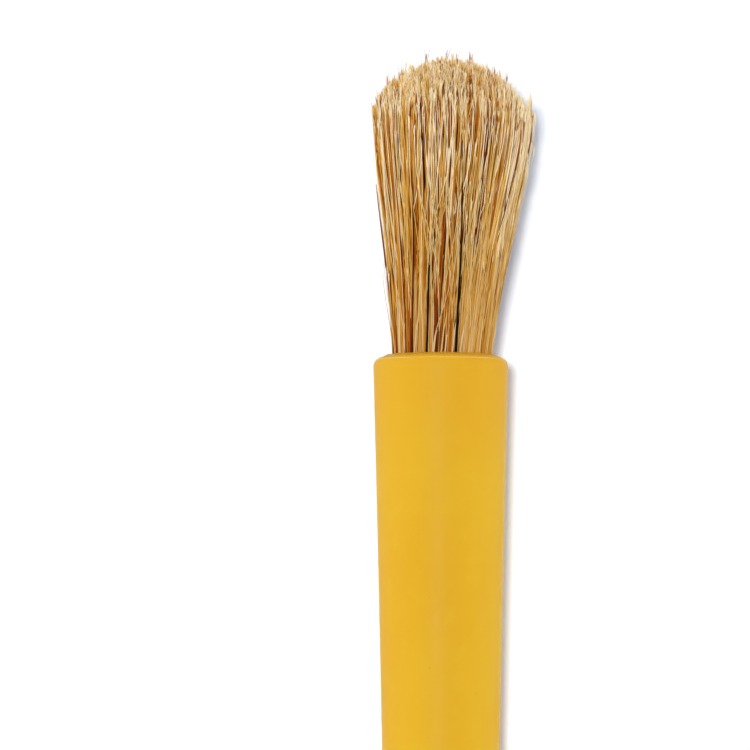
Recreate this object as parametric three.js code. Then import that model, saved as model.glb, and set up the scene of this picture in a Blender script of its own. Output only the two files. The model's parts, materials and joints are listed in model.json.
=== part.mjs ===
// A chubby round paint brush lying on a table: a hollow moulded handle, and a knot of natural bristle
// that is bound with thread, set in resin and glued into the handle's mouth.
//
// Millimetres, +Z up. The brush is built along +Y in its own frame, with y = 0 at the rim of the mouth,
// the bristle tips on the +Y side and the tail of the handle on the -Y side. It is then laid down on
// the table, z = 0, with the origin under the middle of its bounding box.

import * as THREE from "three";

// Handle, from the mouth back to the tail.
const handleLength = 150;
const shoulderRadius = 8.92; // the fattest place, just behind the mouth
const waistRadius = 7.03; // control radius half-way down, which sets how fast the taper starts
const tailRadius = 6.56;
const shoulderRounding = 1.3;
const tailRounding = 3.4;
const lipHeight = 0.3; // how far the top face rises from its rounded edge to the bristles

// Socket and core hole of the handle.
const socketRadius = 6.95;
const socketDepth = 15.2; // from the rim to the ledge that stops the knot
const ledgeWidth = 0.6;
const coreEndRadius = 4.3; // the core hole narrows towards the tail, which lets the core pin out
const tailWall = 5;

// Bristle knot.
const bristleLength = 39.6; // the part that stands out of the handle, on the axis
const rootDepth = 11; // how deep the roots sit below the rim
const rootRadius = 5.8; // the roots are drawn together by the thread
const neckLength = 4.5; // and widen to fill the mouth over this length
const mouthRadius = 6.5;
const spreadRadius = 10.4; // the widest place of the head
const spreadAt = 31; // distance of that place from the rim
const domeRadius = 11.6; // the rounded cut of the tips
const lean = new THREE.Vector2(1.7, 1.5); // sideways set of the tips: to +X, and up off the table
const lockGap = 0.3; // clear space between neighbouring locks at the mouth

// Locks of bristle: a core, then rings that share the disc's area about equally between locks.
const coreShare = 0.23; // radius of each circle as a share of the knot's radius
const innerShare = 0.6;
const innerLocks = 6;
const outerLocks = 12;

// Parts that hold the knot.
const threadRadius = 0.3;
const threadTurns = 4;
const threadPitch = 0.7;
const threadDepth = 8.8; // distance of the first turn behind the rim
const resinThickness = 2;
const stopperFlange = 1.4;
const stopperSpigot = 4.6;
const stopperWall = 1.4;
const clearance = 0.2; // between parts that touch

const latheSegments = 40;
const lockSteps = 9;

const colours = {
  handle: 0xe7b52e,
  stopper: 0xe9e4d8,
  resin: 0xc9a86a,
  thread: 0xd9cfba,
  bristle: 0xc99f5c,
};

function plastic(color, roughness) {
  return new THREE.MeshStandardMaterial({ color, roughness, metalness: 0 });
}

function named(name, geometry, material) {
  const mesh = new THREE.Mesh(geometry, material);
  mesh.name = name;
  return mesh;
}

// Revolves an outline about the brush's axis, with a facet and not an edge turned to the table.
function lathe(path) {
  const tiny = 1e-6;
  const points = path.getPoints(4).filter((p, i, all) => i === 0 || p.distanceTo(all[i - 1]) > tiny);
  points.at(-1).x = 0;
  return new THREE.LatheGeometry(points, latheSegments, Math.PI / latheSegments);
}

// The handle's outline runs up its outside from the tail, over the shoulder, and back down its bore.
function handleShell() {
  const tailEnd = -handleLength;
  const coreStart = -socketDepth;
  const coreEnd = tailEnd + tailWall;
  const outline = new THREE.Path();
  outline.moveTo(0, tailEnd);
  outline.lineTo(tailRadius - tailRounding, tailEnd);
  outline.absarc(tailRadius - tailRounding, tailEnd + tailRounding, tailRounding, -Math.PI / 2, 0, false);

  const shoulderY = -lipHeight - shoulderRounding;
  const taperStart = tailEnd + tailRounding;
  outline.quadraticCurveTo(waistRadius, (taperStart + shoulderY) / 2, shoulderRadius, shoulderY);
  outline.absarc(shoulderRadius - shoulderRounding, shoulderY, shoulderRounding, 0, Math.PI / 2, false);

  outline.lineTo(socketRadius, 0);
  outline.lineTo(socketRadius, coreStart);
  outline.lineTo(socketRadius - ledgeWidth, coreStart);
  outline.lineTo(coreEndRadius, coreEnd + coreEndRadius);
  outline.absarc(0, coreEnd + coreEndRadius, coreEndRadius, 0, -Math.PI / 2, true);
  return lathe(outline);
}

// A flanged plug that rests on the ledge and keeps the resin out of the hollow handle.
function socketStopper() {
  const top = -socketDepth + clearance + stopperFlange;
  const underFlange = top - stopperFlange;
  const spigotRadius = socketRadius - ledgeWidth - clearance;
  const spigotEnd = underFlange - stopperSpigot;
  const outline = new THREE.Path();
  outline.moveTo(0, underFlange);
  outline.lineTo(spigotRadius - stopperWall, underFlange);
  outline.lineTo(spigotRadius - stopperWall, spigotEnd);
  outline.lineTo(spigotRadius - clearance, spigotEnd);
  outline.lineTo(spigotRadius, underFlange);
  outline.lineTo(socketRadius - clearance, underFlange);
  outline.lineTo(socketRadius - clearance, top);
  outline.lineTo(0, top);
  return lathe(outline);
}

// The cast resin under the roots, with a collar that grips them from outside.
function resinPuck() {
  const top = -rootDepth - clearance;
  const radius = socketRadius - clearance;
  const collarInside = rootRadius + clearance;
  const collarTop = top + resinThickness;
  const outline = new THREE.Path();
  outline.moveTo(0, top - resinThickness);
  outline.lineTo(radius, top - resinThickness);
  outline.lineTo(radius, collarTop - clearance);
  outline.lineTo(collarInside, collarTop - clearance);
  outline.lineTo(collarInside, top);
  outline.lineTo(0, top);
  return lathe(outline);
}

// Radius of the whole knot at a distance past the rim, negative inside the socket.
function knotRadius(y) {
  const neck = THREE.MathUtils.smoothstep(y, -neckLength, 0);
  const spread = (THREE.MathUtils.clamp(y / spreadAt, 0, 1) + THREE.MathUtils.smoothstep(y, 0, spreadAt)) / 2;
  return rootRadius + (mouthRadius - rootRadius) * neck + (spreadRadius - mouthRadius) * spread;
}

// Where the knot's middle has moved to at that distance.
function knotLean(y) {
  const t = Math.max(0, y + neckLength) / (bristleLength + neckLength);
  return lean.clone().multiplyScalar(t);
}

// How far past the rim the tips reach at a share of the knot's radius.
function tipHeight(share) {
  const out = share * spreadRadius;
  return bristleLength - domeRadius + Math.sqrt(domeRadius ** 2 - out ** 2);
}

// Thread wound round the knot in the socket.
class BindingHelix extends THREE.Curve {
  getPoint(t, target = new THREE.Vector3()) {
    const angle = t * threadTurns * 2 * Math.PI;
    const radius = rootRadius + clearance + threadRadius;
    const y = t * threadTurns * threadPitch - threadDepth;
    return target.set(radius * Math.cos(angle), y, radius * Math.sin(angle));
  }
}

function bindingThread() {
  const section = new THREE.Shape().absarc(0, 0, threadRadius, 0, 2 * Math.PI, false);
  const stepsPerTurn = 16;
  return new THREE.ExtrudeGeometry(section, {
    steps: threadTurns * stepsPerTurn,
    curveSegments: 3,
    extrudePath: new BindingHelix(),
  });
}

// One lock's share of the knot's disc, whose radius is 1: a ring sector with straight, parallel gaps.
function lockSection(inside, outside, from, to) {
  const margin = lockGap / 2 / mouthRadius;
  const section = new THREE.Shape();
  if (inside === 0) return section.absarc(0, 0, outside - margin, 0, 2 * Math.PI, false);
  const outer = outside - (outside === 1 ? 0 : margin);
  const inner = inside + margin;
  section.absarc(0, 0, outer, from + margin / outer, to - margin / outer, false);
  section.absarc(0, 0, inner, to - margin / inner, from + margin / inner, true);
  return section;
}

// A lock is its section drawn out from the roots to the tips, then bent to the knot's flare and dome.
function bristleLock(section, curveSegments = 2) {
  const geometry = new THREE.ExtrudeGeometry(section, {
    depth: 1,
    steps: lockSteps,
    curveSegments,
    bevelEnabled: false,
  });
  geometry.rotateX(-Math.PI / 2);
  const place = geometry.attributes.position;
  for (let i = 0; i < place.count; i++) {
    const share = Math.hypot(place.getX(i), place.getZ(i));
    const y = THREE.MathUtils.lerp(-rootDepth, tipHeight(share), place.getY(i));
    const middle = knotLean(y);
    const radius = knotRadius(y);
    place.setXYZ(i, middle.x + place.getX(i) * radius, y, middle.y + place.getZ(i) * radius);
  }
  geometry.computeVertexNormals();
  return geometry;
}

function addLockRing(knot, prefix, count, inside, outside, material) {
  const sector = (2 * Math.PI) / count;
  for (let i = 0; i < count; i++) {
    const section = lockSection(inside, outside, i * sector, (i + 1) * sector);
    const number = String(i + 1).padStart(2, "0");
    knot.add(named(`${prefix}_${number}`, bristleLock(section), material));
  }
}

function bristleKnot() {
  const knot = new THREE.Group();
  const material = plastic(colours.bristle, 0.6);
  knot.add(named("bristle_core", bristleLock(lockSection(0, coreShare), 6), material));
  addLockRing(knot, "bristle_inner", innerLocks, coreShare, innerShare, material);
  addLockRing(knot, "bristle_outer", outerLocks, innerShare, 1, material);
  knot.add(named("binding_thread", bindingThread(), plastic(colours.thread, 0.8)));
  knot.add(named("resin_puck", resinPuck(), plastic(colours.resin, 0.3)));
  return knot;
}

const brush = new THREE.Group();
brush.add(named("handle_shell", handleShell(), plastic(colours.handle, 0.35)));
brush.add(named("socket_stopper", socketStopper(), plastic(colours.stopper, 0.5)));
brush.add(bristleKnot());

// The handle lies on its shoulder and its tail, so the bristle end is tilted up a little.
const contactSpan = handleLength - tailRounding - lipHeight - shoulderRounding;
brush.rotation.x = Math.atan((shoulderRadius - tailRadius) / contactSpan);

const box = new THREE.Box3().setFromObject(brush, true);
const middle = box.getCenter(new THREE.Vector3());
brush.position.set(-middle.x, -middle.y, -box.min.z);

const part = new THREE.Group();
part.add(brush);
export default part;
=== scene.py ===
"""A chubby round paint brush lying on a pale table: a moulded plastic handle and a knot of natural bristle.

Everything is in metres. The brush is made in its own frame and then laid in place: y = 0 at the rim of the
handle's mouth, the tips on the +Y side, +X to the side and +Z up off the table.
"""

import json
import math

import bpy
import numpy as np
from mathutils import Matrix, Vector


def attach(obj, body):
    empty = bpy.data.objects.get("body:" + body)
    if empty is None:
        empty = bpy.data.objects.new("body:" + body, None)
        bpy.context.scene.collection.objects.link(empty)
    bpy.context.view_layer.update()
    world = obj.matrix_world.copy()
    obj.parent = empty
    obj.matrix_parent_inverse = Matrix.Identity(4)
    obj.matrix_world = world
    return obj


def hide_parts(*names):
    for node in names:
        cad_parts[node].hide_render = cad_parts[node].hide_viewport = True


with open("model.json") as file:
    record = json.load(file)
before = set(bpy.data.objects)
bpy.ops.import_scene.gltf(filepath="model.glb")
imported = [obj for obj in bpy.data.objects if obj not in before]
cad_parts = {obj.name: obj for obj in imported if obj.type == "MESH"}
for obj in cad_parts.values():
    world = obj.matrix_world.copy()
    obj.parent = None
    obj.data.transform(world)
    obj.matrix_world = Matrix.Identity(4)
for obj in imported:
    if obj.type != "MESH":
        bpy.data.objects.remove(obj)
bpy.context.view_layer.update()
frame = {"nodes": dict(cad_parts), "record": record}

MM = 0.001
random = np.random.default_rng(7)


# ---------------------------------------------------------------- the brush's own frame


def brush_frame():
    """The matrix that lays the brush in place, and the handle's length."""
    mount = next(m for m in frame["record"]["mounts"] if m["name"] == "handle_tail_face")
    tail = Vector(mount["pos_m"])
    along = -Vector(mount["axis"]).normalized()
    shell = frame["nodes"]["handle_shell"].data
    length = max((v.co - tail).dot(along) for v in shell.vertices)
    side = Vector((1, 0, 0))
    turn = Matrix((side, along, side.cross(along))).transposed()
    return Matrix.Translation(tail + along * length) @ turn.to_4x4(), length


lay_down, handle_length = brush_frame()
mouth = lay_down.translation.copy()


# ---------------------------------------------------------------- camera

CAMERA_DISTANCE = 0.9
VIEW_TILT = math.radians(3.8)  # the camera stands a little towards the tail
FRAME_WIDTH = 99.6 * MM  # at the height of the brush's axis
SENSOR = 36.0
LEFT_OF_AXIS = 8.72 * MM
BEHIND_MOUTH = 2.69 * MM


def add_camera():
    """The photo's view: nearly straight down, through a long lens."""
    data = bpy.data.cameras.new("camera")
    data.sensor_width = SENSOR
    data.lens = SENSOR * CAMERA_DISTANCE / FRAME_WIDTH
    data.clip_start = 0.05
    data.clip_end = 20
    camera = bpy.data.objects.new("camera", data)
    target = mouth - Vector((LEFT_OF_AXIS, BEHIND_MOUTH, 0))
    back = Vector((0, -math.sin(VIEW_TILT), math.cos(VIEW_TILT)))
    camera.location = target + back * CAMERA_DISTANCE
    camera.rotation_euler = (VIEW_TILT, 0, 0)
    bpy.context.scene.collection.objects.link(camera)
    bpy.context.scene.camera = camera


add_camera()


# ---------------------------------------------------------------- material helpers


class Nodes:
    """A node material under construction, around one Principled BSDF."""

    def __init__(self, name, **values):
        self.material = bpy.data.materials.new(name)
        self.material.use_nodes = True
        self.tree = self.material.node_tree
        self.surface = self.tree.nodes["Principled BSDF"]
        for socket, value in values.items():
            self.surface.inputs[socket.replace("_", " ")].default_value = value

    def add(self, kind, links=None, **settings):
        """A node with its settings, and its inputs linked or set by name or number."""
        node = self.tree.nodes.new("ShaderNode" + kind)
        for key, value in settings.items():
            setattr(node, key, value)
        for key, value in (links or {}).items():
            if isinstance(value, bpy.types.NodeSocket):
                self.tree.links.new(value, node.inputs[key])
            else:
                node.inputs[key].default_value = value
        return node

    def feed(self, socket, output):
        self.tree.links.new(output, self.surface.inputs[socket])

    def noise(self, scale, detail=2.0, stretch=(1, 1, 1)):
        """Noise in the object's own coordinates, with features about 1 / scale metres across."""
        place = self.add("TexCoord").outputs["Object"]
        mapped = self.add("Mapping", {"Vector": place, "Scale": stretch}).outputs["Vector"]
        noise = self.add("TexNoise", {"Vector": mapped, "Scale": scale, "Detail": detail})
        return noise.outputs["Fac"]

    def ramp(self, factor, stops):
        node = self.add("ValToRGB", {"Fac": factor})
        ramp = node.color_ramp
        while len(ramp.elements) < len(stops):
            ramp.elements.new(0.5)
        for element, (position, colour) in zip(ramp.elements, stops):
            element.position = position
            element.color = (*colour, 1)
        return node.outputs["Color"]

    def span(self, value, low, high, to_low=0.0, to_high=1.0):
        """value from low to high, turned into to_low to to_high."""
        inputs = {"Value": value, "From Min": low, "From Max": high, "To Min": to_low, "To Max": to_high}
        return self.add("MapRange", inputs).outputs["Result"]

    def mix(self, factor, a, b, blend_type="MIX"):
        node = self.add("Mix", {0: factor}, data_type="RGBA", blend_type=blend_type)
        for index, value in ((6, a), (7, b)):
            if isinstance(value, bpy.types.NodeSocket):
                self.tree.links.new(value, node.inputs[index])
            else:
                node.inputs[index].default_value = (*value, 1)
        return node.outputs[2]

    def bump(self, height, distance, strength=1.0):
        bump = self.add("Bump", {"Height": height, "Distance": distance, "Strength": strength})
        self.feed("Normal", bump.outputs["Normal"])


WARM_FROM = 16 * MM  # behind the mouth: the handle's colour turns warmer between these two places
WARM_FULL = 6 * MM
SKIN_DEPTH = 0.03 * MM


def handle_plastic():
    """Yellow moulded plastic: cloudy, with a few specks, a soft gloss and a fine uneven skin.

    It is warmer near the mouth, and carries a painted highlight, a broken paler line, where the mesh says
    that the cap line runs.
    """
    m = Nodes("handle_plastic", Specular_IOR_Level=0.045)
    cloud = m.noise(70, 4, (1, 0.45, 1))
    tint = m.ramp(cloud, [(0.38, (0.76, 0.41, 0.021)), (0.62, (0.77, 0.455, 0.025))])
    fine = m.noise(420, 3)
    worn = m.span(fine, 0.5, 0.8, 0.0, 0.5)
    scuffed = m.mix(worn, tint, (0.78, 0.47, 0.03))
    specks = m.span(m.noise(1500, 1), 0.80, 0.84, 0.0, 0.6)
    place = m.add("TexCoord").outputs["Object"]
    along = m.add("SeparateXYZ", {0: place}).outputs["Y"]
    warm = m.span(along, mouth.y - WARM_FROM, mouth.y - WARM_FULL)
    warmed = m.mix(warm, scuffed, (0.99, 0.91, 0.94), "MULTIPLY")
    # Painted highlight: a paler line along the cap line, broken up by noise.
    line = m.add("Attribute", attribute_name="cap_line_highlight").outputs["Fac"]
    highlight_breaks = m.span(m.noise(260, 2), 0.35, 0.65, 0.35, 1.0)
    pale = m.add("Math", {0: line, 1: highlight_breaks}, operation="MULTIPLY").outputs["Value"]
    highlighted = m.mix(pale, warmed, (0.88, 0.63, 0.19))
    m.feed("Base Color", m.mix(specks, highlighted, (0.42, 0.17, 0.02)))
    m.feed("Roughness", m.span(fine, 0.3, 0.7, 0.38, 0.5))
    m.bump(m.noise(900, 3), SKIN_DEPTH, 0.3)
    return m.material


def plain_plastic(name, dark, light, roughness):
    """An even material that varies a little between two colours."""
    m = Nodes(name)
    m.feed("Base Color", m.ramp(m.noise(300, 3), [(0.3, dark), (0.7, light)]))
    uneven = 0.06
    m.feed("Roughness", m.span(m.noise(700, 2), 0.3, 0.7, roughness - uneven, roughness + uneven))
    m.bump(m.noise(1200, 2), SKIN_DEPTH, 0.4)
    return m.material


def bristle_hair():
    """Natural bristle, duller near its root and bleached towards its tip, with painted shade deep inside the
    knot, which darkens it towards red-brown there.

    The mesh says how pale each hair is, how far along the knot a place lies, and how near the knot's surface
    it is. The darkest hairs keep their tone from root to tip.
    """
    m = Nodes("bristle_hair", Specular_IOR_Level=0.02)
    tone = m.add("Attribute", attribute_name="tone").outputs["Fac"]
    along = m.add("Attribute", attribute_name="along").outputs["Fac"]
    exposed = m.add("Attribute", attribute_name="exposed").outputs["Fac"]
    streak = m.span(m.noise(500, 3, (1, 0.15, 1)), 0.3, 0.7, -0.05, 0.05)
    # Painted shade: places hidden in the knot get a small lift in tone here, and the ramp on how exposed they
    # are darkens and reddens them below.
    hidden = m.span(exposed, 0.0, 1.0, 0.05, 0.0)
    uneven = m.add("Math", {0: streak, 1: hidden}, operation="ADD").outputs["Value"]
    streaked = m.add("Math", {0: tone, 1: uneven}, operation="ADD").outputs["Value"]
    not_dark = m.span(tone, 0.04, 0.2)
    deeper = m.span(along, 0.0, 0.75, -0.09, 0.0)
    bleach = m.add("Math", {0: m.span(along, 0.5, 1.0), 1: 1.6}, operation="POWER").outputs["Value"]
    grown = m.add("Math", {0: bleach, 1: 0.34, 2: deeper}, operation="MULTIPLY_ADD").outputs["Value"]
    shifted = m.add("Math", {0: grown, 1: not_dark, 2: streaked}, operation="MULTIPLY_ADD").outputs["Value"]
    body = m.ramp(
        shifted,
        [
            (0.0, (0.012, 0.007, 0.006)),
            (0.12, (0.2, 0.027, 0.006)),
            (0.3, (0.43, 0.125, 0.013)),
            (0.45, (0.585, 0.232, 0.023)),
            (0.6, (0.705, 0.36, 0.047)),
            (0.75, (0.82, 0.51, 0.112)),
            (0.88, (0.9, 0.67, 0.29)),
            (1.0, (1.0, 0.86, 0.58)),
        ],
    )
    white = (1.0, 1.0, 1.0)
    # Painted shade: the less exposed a place is, the more its colour is darkened towards red-brown, as in the
    # shaded gaps between hairs.
    inner_shade = m.ramp(exposed, [(0.0, (1.0, 0.54, 0.19)), (0.6, (1.0, 0.82, 0.5)), (1.0, white)])
    stain = m.ramp(along, [(0.0, (0.78, 0.68, 0.57)), (0.35, (0.84, 0.77, 0.67)), (0.65, white)])
    shaded_body = m.mix(1.0, body, inner_shade, "MULTIPLY")
    m.feed("Base Color", m.mix(1.0, shaded_body, stain, "MULTIPLY"))
    m.feed("Roughness", m.span(along, 0.0, 1.0, 0.4, 0.55))
    return m.material


# ---------------------------------------------------------------- meshes


def add_piece(name, points, faces, material, replaced):
    """A smooth mesh made in the brush's own frame, laid in place of the CAD node it replaces."""
    mesh = bpy.data.meshes.new(name)
    mesh.from_pydata([tuple(p) for p in points], [], faces)
    mesh.transform(lay_down)
    mesh.polygons.foreach_set("use_smooth", [True] * len(mesh.polygons))
    mesh.materials.append(material)
    piece = bpy.data.objects.new(name, mesh)
    bpy.context.scene.collection.objects.link(piece)
    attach(piece, "root")
    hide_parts(replaced)
    return piece


def add_layer(piece, name, values):
    """A number at each point of the piece, which its material reads by name."""
    layer = piece.data.attributes.new(name, "FLOAT", "POINT")
    layer.data.foreach_set("value", values.astype(np.float32))


# ---------------------------------------------------------------- handle

SHOULDER_RADIUS = 8.92 * MM
WAIST_RADIUS = 7.03 * MM
TAIL_RADIUS = 6.56 * MM
SHOULDER_ROUNDING = 1.3 * MM
TAIL_ROUNDING = 3.4 * MM
LIP_HEIGHT = 0.3 * MM
SOCKET_RADIUS = 6.95 * MM
SOCKET_DEPTH = 15.2 * MM
CORE_RADIUS = 6.35 * MM
CORE_END_RADIUS = 4.3 * MM
TAIL_WALL = 5 * MM
CAP_LINE_AT = 44  # degrees round the shoulder's rounding: the line where the mould's cap met its body
CAP_LINE_SPREAD = 3.8
CAP_LINE_HEIGHT = 0.035 * MM
EDGE_ENDS_AT = 80  # degrees round the shoulder's rounding: where the slightly raised lip takes over
EDGE_STEPS = 40
TAPER_STEPS = 39
FACET = 2.0  # degrees round the handle
LEDGE_SLOPE = 0.02 * MM
MOUTH_ROUNDING = 0.2 * MM
GATE_RADIUS = 1.3 * MM  # the small dimple in the tail where the plastic came into the mould
GATE_DEPTH = 0.25 * MM
PARTING_HEIGHT = 0.025 * MM
PARTING_SPREAD = 1.5  # degrees round the handle


def arc(centre, radius, start, end, steps):
    """Points on a round stretch of an outline, from one angle to another in degrees."""
    angles = np.radians(np.linspace(start, end, steps + 1))
    return [(centre[0] + radius * math.cos(a), centre[1] + radius * math.sin(a)) for a in angles]


def handle_profile():
    """Radius and height of the handle's wall, from the tail's middle round to the end of its core hole.

    It comes with how much of the cap line is at each place, where the handle's material paints a highlight.
    """
    tail = -handle_length
    shoulder = -LIP_HEIGHT - SHOULDER_ROUNDING
    taper_start = tail + TAIL_ROUNDING
    core_end = tail + TAIL_WALL + CORE_END_RADIUS
    gate_floor = tail + GATE_DEPTH
    profile = [(0, gate_floor), (GATE_RADIUS * 0.8, gate_floor), (GATE_RADIUS, tail)]
    profile += arc((TAIL_RADIUS - TAIL_ROUNDING, taper_start), TAIL_ROUNDING, -90, 0, 12)
    for t in np.linspace(0, 1, TAPER_STEPS + 1)[1:-1]:
        radius = (1 - t) ** 2 * TAIL_RADIUS + 2 * t * (1 - t) * WAIST_RADIUS + t**2 * SHOULDER_RADIUS
        profile.append((radius, taper_start + t * (shoulder - taper_start)))
    edge_middle = (SHOULDER_RADIUS - SHOULDER_ROUNDING, shoulder)
    edge = np.array(arc(edge_middle, SHOULDER_ROUNDING, 0, EDGE_ENDS_AT, EDGE_STEPS))
    turns = np.linspace(0, EDGE_ENDS_AT, EDGE_STEPS + 1)
    bead = np.exp(-(((turns - CAP_LINE_AT) / CAP_LINE_SPREAD) ** 2))
    outward = np.stack([np.cos(np.radians(turns)), np.sin(np.radians(turns))], -1)
    lines = np.zeros(len(profile) + len(edge))
    lines[len(profile):] = bead
    profile += (edge + CAP_LINE_HEIGHT * bead[:, None] * outward).tolist()
    mouth_middle = (SOCKET_RADIUS + MOUTH_ROUNDING, -MOUTH_ROUNDING)
    profile += arc(mouth_middle, MOUTH_ROUNDING, EDGE_ENDS_AT, 180, 5)
    profile += [(SOCKET_RADIUS, -SOCKET_DEPTH), (CORE_RADIUS, -SOCKET_DEPTH - LEDGE_SLOPE)]
    profile += arc((0, core_end), CORE_END_RADIUS, 0, -90, 8)[:-1]
    profile.append((0, core_end - CORE_END_RADIUS))
    return profile, np.pad(lines, (0, len(profile) - len(lines)))


def add_handle():
    """The moulding, revolved about the brush's axis, with the faint raised line where its mould parted."""
    profile, lines = handle_profile()
    turns = np.radians(np.arange(0, 360, FACET))
    off_parting = np.degrees(np.arcsin(np.sin(turns)))
    parting = PARTING_HEIGHT * np.exp(-((off_parting / PARTING_SPREAD) ** 2))
    points = []
    for radius, y in profile:
        if radius == 0:
            points.append((0, y, 0))
            continue
        outside = radius > SOCKET_RADIUS or y < -handle_length + TAIL_ROUNDING
        for turn, ridge in zip(turns, parting):
            r = radius + (ridge if outside and radius > TAIL_RADIUS * 0.9 else 0)
            points.append((r * math.cos(turn), y, r * math.sin(turn)))
    count = len(turns)
    rings = len(profile) - 2
    faces = []
    for i in range(count):
        j = (i + 1) % count
        faces.append((0, 1 + i, 1 + j))
        for ring in range(rings - 1):
            a = 1 + ring * count
            b = a + count
            faces.append((a + i, b + i, b + j, a + j))
        last = 1 + (rings - 1) * count
        faces.append((last + i, 1 + rings * count, last + j))
    piece = add_piece("handle", points, faces, handle_plastic(), "handle_shell")
    add_layer(piece, "cap_line_highlight", np.concatenate([lines[:1], np.repeat(lines[1:-1], count), lines[-1:]]))


add_handle()


# ---------------------------------------------------------------- bristles

HAIR_COUNT = 4400
BRISTLE_LENGTH = 39.6 * MM
ROOT_DEPTH = 10.9 * MM
ROOT_RADIUS = 5.7 * MM
NECK_LENGTH = 4.5 * MM
MOUTH_RADIUS = 6.65 * MM
SPREAD_RADIUS = 10.3 * MM
SPREAD_AT = 29 * MM
DOME_RADIUS = 11.3 * MM
DOME_TOP = 38.6 * MM
DOME_MIDDLE = (-0.5 * MM, 0.9 * MM)  # from the knot's middle
DOME_EDGE = 0.93  # of its radius: it gets no lower past this
LEAN_SIDE = (0.2 * MM, 1.6 * MM)  # of the knot's middle, at the mouth and where it is widest
LEAN_UP = 1.5 * MM
TABLE_CLEARANCE = 0.12 * MM
STRANDS = 1500  # two or three hairs that stick together and share a colour
STRAND_PULLS = (0.25, 0.6)  # how far each hair's root and tip are drawn to the middle of its strand
TUFTS = 130
TUFTS_AT = 23 * MM  # where the tufts are drawn together most, and over what length
TUFTS_SPREAD = 11 * MM
TUFTS_PULL = 0.7  # how far they are drawn together
CORE_SHARE = 0.23
INNER_SHARE = 0.6
INNER_LOCKS = 6
OUTER_LOCKS = 12
HAIR_SIDES = 6
PLACES_OUT = 11  # places along each hair from the mouth to its tip
WAVES = (0.07 * MM, 0.2 * MM)  # how big a hair's waves are in and out of the knot, and round it
BENDS = (0.25 * MM, 0.8 * MM)  # and its bent end
HAIR_RADIUS = 0.098 * MM
HAIR_TAPER = 0.62  # the part of its radius that a hair loses on the way to its tip
POINT_LENGTH = 2.5  # of the point that closes a hair, in radii of its tip
FLYAWAY_RADIUS = 0.06 * MM
THINNEST_CROSSING = 0.07 * MM
THICKEST_CROSSING = 0.13 * MM
BURIED_SHARE = 0.92  # of the knot's radius: hairs within it are hidden, and those past the next share show
SURFACE_SHARE = 0.98
BURIED_DEPTH = 3 * MM  # below the dome, where hairs are hidden too
TONE = 0.55  # of the usual hair, from 0, which is nearly black, to 1, which is cream
STRAND_TONES = 0.18  # how much strands differ
HAIR_TONES = 0.06  # and hairs within a strand
DARK_TONES = (0.05, 0.21)
PALE_TONES = (0.9, 1.15)
SPLITS = 3  # ends that each hair splits into
SPLIT_SIDES = 4
SPLIT_SPREAD = 0.24 * MM
SPLIT_LENGTH = 0.7 * MM  # the most that an end reaches past its hair
SPLIT_RADII = (0.04 * MM, 0.035 * MM, 0.02 * MM)  # where it leaves its hair, half-way and at its end

# Hairs that show one by one on the upper side of the knot: dark ones, then pale ones that slant over the
# others. Where each lies to the side of the brush's axis at the mouth and at its end, how far out it ends,
# its shares of the knot's radius at the mouth and at its end, its tone and its radius.
CHOSEN_HAIRS = [
    (1.9 * MM, 3.1 * MM, 27.5 * MM, 1.03, 1.02, 0.0, 0.17 * MM),
    (-1.9 * MM, -0.9 * MM, 27 * MM, 1.03, 0.95, 0.0, 0.15 * MM),
    (-3.8 * MM, -3.9 * MM, 33 * MM, 1.03, 1.01, 0.1, 0.13 * MM),
    (-6.3 * MM, -8.6 * MM, 22.5 * MM, 0.98, 1.0, 0.22, 0.15 * MM),
    (-0.6 * MM, -2.5 * MM, 32.5 * MM, 0.2, 1.04, 0.0, 0.2 * MM),
    (-5.0 * MM, -6.4 * MM, 32.5 * MM, 0.85, 1.02, 0.07, 0.14 * MM),
    (-1.5 * MM, -1.8 * MM, 39.8 * MM, 0.4, 0.3, 0.12, 0.14 * MM),
    (2.0 * MM, 3.4 * MM, 39.6 * MM, 0.4, 0.3, 0.1, 0.12 * MM),
    (-4.8 * MM, -7.0 * MM, 36.8 * MM, 0.8, 0.85, 0.16, 0.1 * MM),
    (4.6 * MM, 6.4 * MM, 30.5 * MM, 0.6, 1.02, 0.12, 0.12 * MM),
    (2.1 * MM, 3.4 * MM, 32 * MM, 0.6, 1.02, 0.12, 0.1 * MM),
    (5.5 * MM, 6.0 * MM, 24 * MM, 0.8, 1.02, 0.1, 0.13 * MM),
    (0.5 * MM, 9.9 * MM, 24 * MM, 1.0, 1.03, 1.05, 0.12 * MM),
    (0, 8.4 * MM, 30 * MM, 1.0, 1.04, 1.0, 0.12 * MM),
    (1.5 * MM, 9.2 * MM, 31 * MM, 1.0, 1.03, 1.1, 0.11 * MM),
    (-3.5 * MM, 4.2 * MM, 31 * MM, 1.0, 1.04, 1.05, 0.12 * MM),
    (-5.0 * MM, 0.9 * MM, 33 * MM, 1.0, 1.04, 0.95, 0.11 * MM),
    (-6.0 * MM, -2.6 * MM, 32 * MM, 0.98, 1.04, 1.0, 0.11 * MM),
    (-1.0 * MM, 7.8 * MM, 22 * MM, 1.0, 1.03, 1.05, 0.12 * MM),
    (2.5 * MM, 8.9 * MM, 20 * MM, 1.0, 1.03, 1.1, 0.11 * MM),
]
FLYAWAYS = 90
CROSSING = 250


def ease(t):
    """Rises smoothly from 0 to 1 as t does."""
    t = np.clip(t, 0, 1)
    return t * t * (3 - 2 * t)


def knot_radius(y):
    """It widens through its neck and flares out of the mouth, and the flare levels off near the tips."""
    neck = ROOT_RADIUS + (MOUTH_RADIUS - ROOT_RADIUS) * ease(1 + y / NECK_LENGTH)
    t = np.maximum(y, 0) / SPREAD_AT
    spread = 0.7 * t + 0.3 * t**2 - 2.8 * np.maximum(t - 0.9, 0) ** 2
    return neck + (SPREAD_RADIUS - MOUTH_RADIUS) * spread


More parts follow.
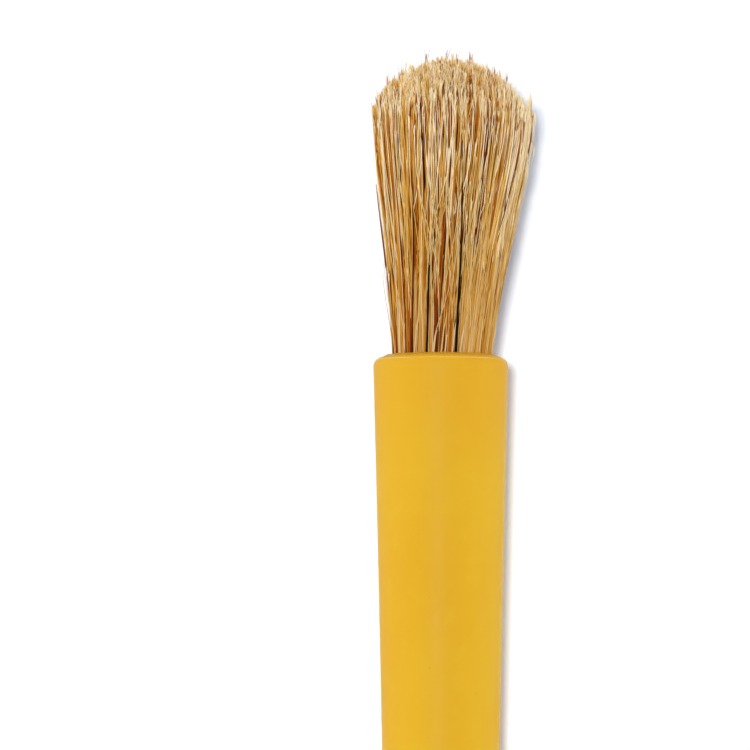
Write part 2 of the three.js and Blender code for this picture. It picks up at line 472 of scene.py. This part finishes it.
def knot_middle(y):
    """Where the knot's middle has moved to, to the side and up, at a height past the rim."""
    side = LEAN_SIDE[0] + (LEAN_SIDE[1] - LEAN_SIDE[0]) * np.clip(y / SPREAD_AT, 0, 1)
    up = LEAN_UP * np.clip((y + NECK_LENGTH) / (BRISTLE_LENGTH + NECK_LENGTH), 0, 1)
    return np.stack([side, up], -1)


def dome_height(tips):
    """How far past the rim the dome is at those shares of the knot's radius."""
    y = np.full(len(tips), DOME_TOP)
    for _ in range(4):
        place = tips * knot_radius(y)[:, None] - DOME_MIDDLE
        out = np.minimum(np.linalg.norm(place, axis=1), DOME_RADIUS * DOME_EDGE)
        y = DOME_TOP - DOME_RADIUS + np.sqrt(DOME_RADIUS**2 - out**2)
    return y


def spiral(count, jitter):
    """Points spread evenly over a disc of radius 1."""
    golden = math.pi * (3 - math.sqrt(5))
    index = np.arange(count) + 0.5
    radius = np.sqrt(index / count)
    angle = index * golden
    disc = np.stack([radius * np.cos(angle), radius * np.sin(angle)], -1)
    disc += random.normal(0, jitter / math.sqrt(count), disc.shape)
    reach = np.linalg.norm(disc, axis=1, keepdims=True)
    return disc / np.maximum(reach, 1)


def nearest(places, count):
    """Which of that many even groups each place is in, and the middle of its group."""
    middles = spiral(count, 0.6)
    group = np.argmin(((places[:, None] - middles[None]) ** 2).sum(-1), axis=1)
    return group, middles[group]


class Hairs:
    """Many hairs: points (hair, place, xyz) and each hair's tone.

    Each place also has its radius, how far along the knot it is, and how near the knot's surface it is.
    """

    def __init__(self, points, radii, tones, along, exposed):
        self.points = points
        self.radii = radii
        self.tones = tones
        self.along = along
        self.exposed = exposed

    def only(self, chosen):
        kinds = (self.points, self.radii, self.tones, self.along, self.exposed)
        return Hairs(*(kind[chosen] for kind in kinds))


def common_places():
    """Each common hair's strand and tuft, and its root, tip and pull as shares of the knot's radius."""
    even = spiral(HAIR_COUNT, 0.35) * 0.995
    strand, strand_middles = nearest(even, STRANDS)
    tuft, tuft_middles = nearest(even, TUFTS)
    roots = even + STRAND_PULLS[0] * (strand_middles - even)
    pulls = (tuft_middles - even) * random.uniform(0.3, 0.95, STRANDS)[strand, None]
    wander = random.normal(0, 0.06, (STRANDS, 2))[strand] + random.normal(0, 0.03, (HAIR_COUNT, 2))
    crossing = random.random(HAIR_COUNT) < 0.2
    wander[crossing] += random.normal(0, 0.19, (crossing.sum(), 2))
    tips = even + STRAND_PULLS[1] * (strand_middles - even) + pulls * TUFTS_PULL + wander
    tips /= np.maximum(np.linalg.norm(tips, axis=1, keepdims=True), 1)
    return strand, tuft, roots, tips, pulls


def common_reach(tips, tuft):
    """How far out each common hair ends: near the dome, with some worn short and a few standing proud."""
    share = np.linalg.norm(tips, axis=1)
    reach = dome_height(tips)
    reach -= np.abs(random.normal(0, 1, HAIR_COUNT)) * (0.4 + 0.7 * share**2) * MM
    reach += random.normal(0, 0.35 * MM, TUFTS)[tuft]
    short = random.random(HAIR_COUNT) < 0.05 + 0.08 * share**2
    reach[short] -= random.uniform(1 * MM, 9 * MM, short.sum())
    stray = random.random(HAIR_COUNT) < 0.03
    reach[stray] += random.uniform(0.4 * MM, 1.5 * MM, stray.sum())
    return reach


def common_tones(tips, strand):
    """Each common hair's tone and radius. Those on the right are paler, and those far to the left darker.
    Hairs that lie within the knot are a little darker and never pale, as painted shade.
    """
    outside = ease((np.linalg.norm(tips, axis=1) - 0.6) / 0.3)
    tones = TONE + random.normal(0, STRAND_TONES, STRANDS)[strand]
    tones += random.normal(0, HAIR_TONES, HAIR_COUNT)
    # Painted shade: hairs that lie within the knot are a little darker, and only those near its outside may
    # be pale.
    tones = np.clip(tones, 0.24, 1) - 0.05 * (1 - outside)
    tones += 0.5 * ease((tips[:, 0] - 0.6) / 0.36)
    tones += 0.08 * np.exp(-(((tips[:, 0] + 0.62) / 0.12) ** 2)) - 0.36 * ease((-tips[:, 0] - 0.66) / 0.25)
    kind = random.random(HAIR_COUNT)
    dark = (kind < 0.09) | (random.random(STRANDS)[strand] < 0.05)
    tones[dark] = random.uniform(*DARK_TONES, dark.sum())
    tones[kind < 0.003] = 0.0
    pale = ((kind > 0.93) | (random.random(STRANDS)[strand] > 0.92)) & (outside > 0.5) & ~dark
    tones[pale] = random.uniform(*PALE_TONES, pale.sum())
    thick = HAIR_RADIUS * np.exp(np.clip(random.normal(0, 0.3, HAIR_COUNT), -0.6, 0.65))
    thick[pale] *= 1.2
    thick[dark] *= 0.9
    return tones, thick


def common_hairs():
    """Roots, tips and pulls into tufts as shares of the knot's radius, the reach, tone and radius of each."""
    strand, tuft, roots, tips, pulls = common_places()
    reach = common_reach(tips, tuft)
    tones, thick = common_tones(tips, strand)
    return roots, tips, pulls, reach, tones, thick


def flyaways():
    """The same for thin pale hairs that stand off the knot."""
    turns = random.uniform(0, 2 * math.pi, FLYAWAYS)
    ends = turns + random.normal(0, 0.15, FLYAWAYS)
    far = random.uniform(1.01, 1.1, FLYAWAYS)
    roots = 0.99 * np.stack([np.cos(turns), np.sin(turns)], -1)
    tips = np.stack([far * np.cos(ends), far * np.sin(ends)], -1)
    reach = random.uniform(10 * MM, 35 * MM, FLYAWAYS)
    tones = random.uniform(0.75, 1.1, FLYAWAYS)
    return roots, tips, np.zeros((FLYAWAYS, 2)), reach, tones, np.full(FLYAWAYS, FLYAWAY_RADIUS)


def crossing_hairs():
    """The same for pale hairs that slant over the others."""
    turns = random.uniform(0, 2 * math.pi, CROSSING)
    ends = turns + random.normal(0, 0.38, CROSSING)
    far = random.uniform(0.98, 1.03, CROSSING)
    roots = 0.97 * np.stack([np.cos(turns), np.sin(turns)], -1)
    tips = np.stack([far * np.cos(ends), far * np.sin(ends)], -1)
    reach = random.uniform(24 * MM, 35 * MM, CROSSING)
    tones = random.uniform(0.7, 1.05, CROSSING)
    thick = random.uniform(THINNEST_CROSSING, THICKEST_CROSSING, CROSSING)
    return roots, tips, np.zeros((CROSSING, 2)), reach, tones, thick


def chosen_hairs():
    """The same for the hairs in CHOSEN_HAIRS."""
    start, end, reach, start_share, end_share, tones, thick = np.array(CHOSEN_HAIRS).T
    shares = []
    for y, side, far in ((np.zeros(len(reach)), start, start_share), (reach, end, end_share)):
        across = (side - knot_middle(y)[:, 0]) / knot_radius(y)
        shares.append(np.stack([across, np.sqrt(np.maximum(far**2 - across**2, 0))], -1))
    return *shares, np.zeros((len(reach), 2)), reach, tones, thick


def hair_paths(roots, tips, pulls, reach):
    """Points along each hair, from the resin through the neck, out of the mouth and to its tip.

    They come with how near the knot's surface each one is: 0 deep inside, and 1 on its side or on its dome.
    """
    count = len(roots)
    inside = np.tile([-ROOT_DEPTH, -NECK_LENGTH], (count, 1))
    out = np.tile(np.linspace(0, 1, PLACES_OUT), (count, 1))
    y = np.concatenate([inside, reach[:, None] * out], 1)
    blend = ease(y / np.minimum(0.9 * SPREAD_AT, reach[:, None]))[..., None]
    share = roots[:, None] * (1 - blend) + tips[:, None] * blend
    tufted = np.exp(-(((y - TUFTS_AT) / TUFTS_SPREAD) ** 2)) * ease(y / TUFTS_SPREAD)
    share = share + pulls[:, None] * TUFTS_PULL * tufted[..., None]
    place = knot_middle(y) + share * knot_radius(y)[..., None]
    near_side = (np.linalg.norm(share, axis=-1) - BURIED_SHARE) / (SURFACE_SHARE - BURIED_SHARE)
    near_dome = 1 - (dome_height(tips)[:, None] - y) / BURIED_DEPTH
    exposed = np.clip(np.maximum(near_side, near_dome), 0, 1)

    # Waves and a bent end, mostly round the knot and less in and out of it.
    outward = tips / np.linalg.norm(tips, axis=1, keepdims=True)
    turned = np.stack([-outward[:, 1], outward[:, 0]], -1)
    waves = random.uniform(0.3, 1.4, (count, 1, 2))
    phases = random.uniform(0, 2 * math.pi, (count, 1, 2))
    sizes = random.normal(0, 1, (count, 1, 2)) * WAVES
    bends = random.normal(0, 1, (count, 1, 2)) * BENDS
    bends[random.random(count) < 0.2, :, 1] *= 2.4
    t = (np.maximum(y, 0) / BRISTLE_LENGTH)[..., None]
    moves = sizes * np.sin(2 * math.pi * waves * t + phases) * ease(t * 4) + bends * t**3
    place += moves[..., :1] * outward[:, None] + moves[..., 1:] * turned[:, None]
    return np.stack([place[..., 0], y, place[..., 1]], -1), exposed


def rest_on_table(points):
    """Lifts what would pass below the table, which lies at z = 0 in the row's frame."""
    up = np.array(lay_down.to_3x3())[2]
    height = points @ up + lay_down.translation.z
    points[..., 2] += np.maximum(TABLE_CLEARANCE - height, 0)


def whole_hairs():
    """All the hairs, each thinner towards its tip, and their roots."""
    kinds = zip(common_hairs(), flyaways(), crossing_hairs(), chosen_hairs())
    roots, tips, pulls, reach, tones, thick = (np.concatenate(kind) for kind in kinds)
    points, exposed = hair_paths(roots, tips, pulls, reach)
    rest_on_table(points)
    taper = 1 - HAIR_TAPER * np.linspace(0, 1, points.shape[1]) ** 1.5
    along = np.clip(points[..., 1] / BRISTLE_LENGTH, 0, 1)
    return roots, Hairs(points, thick[:, None] * taper, tones, along, exposed)


def split_tips(hairs):
    """The fine ends that each natural bristle splits into."""
    before = hairs.points[:, -2]
    tip = hairs.points[:, -1]
    count = len(tip)
    worn = np.clip(tip[:, 1:2] / BRISTLE_LENGTH * 3 - 1.7, 0.2, 1)
    spread = random.normal(0, SPLIT_SPREAD, (count, 3)) * worn
    spread[:, 1] = random.uniform(0, SPLIT_LENGTH, count)
    start = before + (tip - before) * random.uniform(0.3, 0.7, (count, 1))
    middle = tip + (start - tip) * 0.3 + spread * (0.45, 0.1, 0.45)
    points = np.stack([start, middle, tip + spread], 1)
    rest_on_table(points)
    radii = np.tile(SPLIT_RADII, (count, 1))
    tones = np.clip(hairs.tones + 0.15 * worn[:, 0], 0, 1)
    tones[hairs.tones < 0.15] = 0.12
    exposed = np.tile(hairs.exposed[:, -1:], 3)
    return Hairs(points, radii, tones, np.tile([0.9, 0.97, 1.0], (count, 1)), exposed)


def lock_of(roots):
    """The CAD lock that each root belongs to."""
    radius = np.linalg.norm(roots, axis=1)
    # The locks are numbered from +X round by way of the underside.
    turn = np.arctan2(-roots[:, 1], roots[:, 0]) % (2 * math.pi) / (2 * math.pi)
    names = []
    for r, a in zip(radius, turn):
        if r < CORE_SHARE:
            names.append("bristle_core")
        elif r < INNER_SHARE:
            names.append(f"bristle_inner_{int(a * INNER_LOCKS) + 1:02d}")
        else:
            names.append(f"bristle_outer_{int(a * OUTER_LOCKS) + 1:02d}")
    return np.array(names)


def tube_points(hairs, sides):
    """Rings of points round each hair and one point beyond its end, with the numbers its material reads."""
    count, places = hairs.radii.shape
    turns = np.arange(sides) * 2 * math.pi / sides
    ring = np.stack([np.cos(turns), np.zeros(sides), np.sin(turns)], -1)
    rings = hairs.points[:, :, None] + hairs.radii[:, :, None, None] * ring
    heading = hairs.points[:, -1] - hairs.points[:, -2]
    heading /= np.linalg.norm(heading, axis=1, keepdims=True)
    apex = hairs.points[:, -1] + heading * hairs.radii[:, -1:] * POINT_LENGTH
    points = np.concatenate([rings.reshape(count, -1, 3), apex[:, None]], 1)
    layers = {"tone": np.repeat(hairs.tones, places * sides + 1)}
    for name, values in (("along", hairs.along), ("exposed", hairs.exposed)):
        layers[name] = np.concatenate([np.repeat(values, sides, axis=1), values[:, -1:]], 1).ravel()
    return points.reshape(-1, 3), layers


def tube_faces(count, places, sides):
    """Faces of closed tubes whose points come from tube_points."""
    each = places * sides + 1
    firsts = np.arange(count)[:, None] * each
    here = np.arange(sides)
    there = (here + 1) % sides
    below = np.arange(places - 1)[:, None] * sides
    quads = np.stack([below + here, below + sides + here, below + sides + there, below + there], -1)
    last = (places - 1) * sides
    ends = np.stack([last + here, np.full(sides, each - 1), last + there], -1)
    faces = (firsts + here).tolist()
    faces += (firsts[:, None] + quads.reshape(-1, 4)).reshape(-1, 4).tolist()
    faces += (firsts[:, None] + ends).reshape(-1, 3).tolist()
    return faces


def add_lock(lock, groups, material):
    """One piece from groups of hairs, each with its number of sides."""
    points = []
    layers = []
    faces = []
    start = 0
    for hairs, sides in groups:
        own_points, own_layers = tube_points(hairs, sides)
        own_faces = tube_faces(*hairs.radii.shape, sides)
        faces += [[start + index for index in face] for face in own_faces]
        points.append(own_points)
        layers.append(own_layers)
        start += len(own_points)
    name = lock.replace("bristle", "hairs")
    piece = add_piece(name, np.concatenate(points), faces, material, lock)
    for layer in layers[0]:
        add_layer(piece, layer, np.concatenate([own[layer] for own in layers]))


def add_bristles():
    """One piece of hairs for each lock that the CAD has."""
    roots, hairs = whole_hairs()
    locks = lock_of(roots)
    material = bristle_hair()
    for lock in sorted(set(locks)):
        own = hairs.only(locks == lock)
        groups = [(own, HAIR_SIDES)] + [(split_tips(own), SPLIT_SIDES) for _ in range(SPLITS)]
        add_lock(lock, groups, material)


add_bristles()


# ---------------------------------------------------------------- parts inside the handle


def dress(node, material):
    """Gives a CAD node that keeps its own shape a material."""
    slots = frame["nodes"][node].data.materials
    slots.clear()
    slots.append(material)


dress("socket_stopper", plain_plastic("stopper_plastic", (0.72, 0.69, 0.6), (0.8, 0.77, 0.69), 0.45))
dress("resin_puck", plain_plastic("resin", (0.45, 0.29, 0.1), (0.58, 0.4, 0.16), 0.25))
dress("binding_thread", plain_plastic("thread", (0.6, 0.53, 0.41), (0.72, 0.65, 0.52), 0.8))


# ---------------------------------------------------------------- floor, light and world

FLOOR_REACH = 12
FLOOR_COLOUR = (0.93, 0.95, 0.98, 1)
FLOOR_GLOW = (0.45, 0.66, 1, 1)
FLOOR_GLOW_STRENGTH = 0.22
KEY_TOWARDS = (-0.152, 0.03, 1.3)  # from the mouth to the key light
KEY_WIDTH = math.radians(9.5)
KEY_STRENGTH = 2.39
SKY_LIGHT = 0.13
HORIZON_LIGHT = 3.0
HORIZON_TOP = 0.35  # where the room's bright lower part ends, as the height of a direction of length 1
RIGHT_BIAS = 0.12
REFLECTED_SHARE = 0.25


def add_floor():
    """A white table out to the horizon. It glows a little, which keeps its shadows soft and cool."""
    size = FLOOR_REACH
    mesh = bpy.data.meshes.new("floor")
    corners = [(-size, -size, 0), (size, -size, 0), (size, size, 0), (-size, size, 0)]
    mesh.from_pydata(corners, [], [(0, 1, 2, 3)])
    m = Nodes("floor", Roughness=0.9, Specular_IOR_Level=0.1)
    m.surface.inputs["Base Color"].default_value = FLOOR_COLOUR
    m.surface.inputs["Emission Color"].default_value = FLOOR_GLOW
    m.surface.inputs["Emission Strength"].default_value = FLOOR_GLOW_STRENGTH
    mesh.materials.append(m.material)
    floor = bpy.data.objects.new("floor", mesh)
    bpy.context.scene.collection.objects.link(floor)


def add_key():
    """A broad overhead light, as from a large softbox far off, so that the floor is even out to its edge."""
    data = bpy.data.lights.new("key", "SUN")
    data.angle = KEY_WIDTH
    data.energy = KEY_STRENGTH
    lamp = bpy.data.objects.new("key", data)
    lamp.location = mouth + Vector(KEY_TOWARDS)
    lamp.rotation_euler = (-Vector(KEY_TOWARDS)).to_track_quat("-Z", "Y").to_euler()
    bpy.context.scene.collection.objects.link(lamp)


def light_room():
    """A white room, brightest low down and to the right, which lights the brush's sides."""
    world = bpy.data.worlds.new("room")
    world.use_nodes = True
    tree = world.node_tree
    direction = tree.nodes.new("ShaderNodeTexCoord").outputs["Generated"]
    split = tree.nodes.new("ShaderNodeSeparateXYZ")
    tree.links.new(direction, split.inputs[0])

    low = tree.nodes.new("ShaderNodeMapRange")
    low.inputs["From Min"].default_value = HORIZON_TOP
    low.inputs["From Max"].default_value = 0.0
    low.inputs["To Max"].default_value = HORIZON_LIGHT
    tree.links.new(split.outputs["Z"], low.inputs["Value"])
    right = tree.nodes.new("ShaderNodeMapRange")
    right.inputs["From Min"].default_value = -1.0
    right.inputs["To Min"].default_value = 1 - RIGHT_BIAS
    right.inputs["To Max"].default_value = 1 + RIGHT_BIAS
    tree.links.new(split.outputs["X"], right.inputs["Value"])
    both = tree.nodes.new("ShaderNodeMath")
    both.operation = "MULTIPLY_ADD"
    both.inputs[2].default_value = SKY_LIGHT
    tree.links.new(low.outputs["Result"], both.inputs[0])
    tree.links.new(right.outputs["Result"], both.inputs[1])
    # Reflections see a dimmer room, so that the handle isn't washed out along its edges.
    dimmer = tree.nodes.new("ShaderNodeMapRange")
    dimmer.inputs["To Min"].default_value = 1
    dimmer.inputs["To Max"].default_value = REFLECTED_SHARE
    reflected = tree.nodes.new("ShaderNodeLightPath").outputs["Is Glossy Ray"]
    tree.links.new(reflected, dimmer.inputs["Value"])
    strength = tree.nodes.new("ShaderNodeMath")
    strength.operation = "MULTIPLY"
    tree.links.new(both.outputs["Value"], strength.inputs[0])
    tree.links.new(dimmer.outputs["Result"], strength.inputs[1])
    background = tree.nodes["Background"]
    background.inputs["Color"].default_value = (1, 1, 1, 1)
    tree.links.new(strength.outputs["Value"], background.inputs["Strength"])
    bpy.context.scene.world = world


add_floor()
add_key()
light_room()
bpy.context.scene.view_settings.view_transform = "Standard"
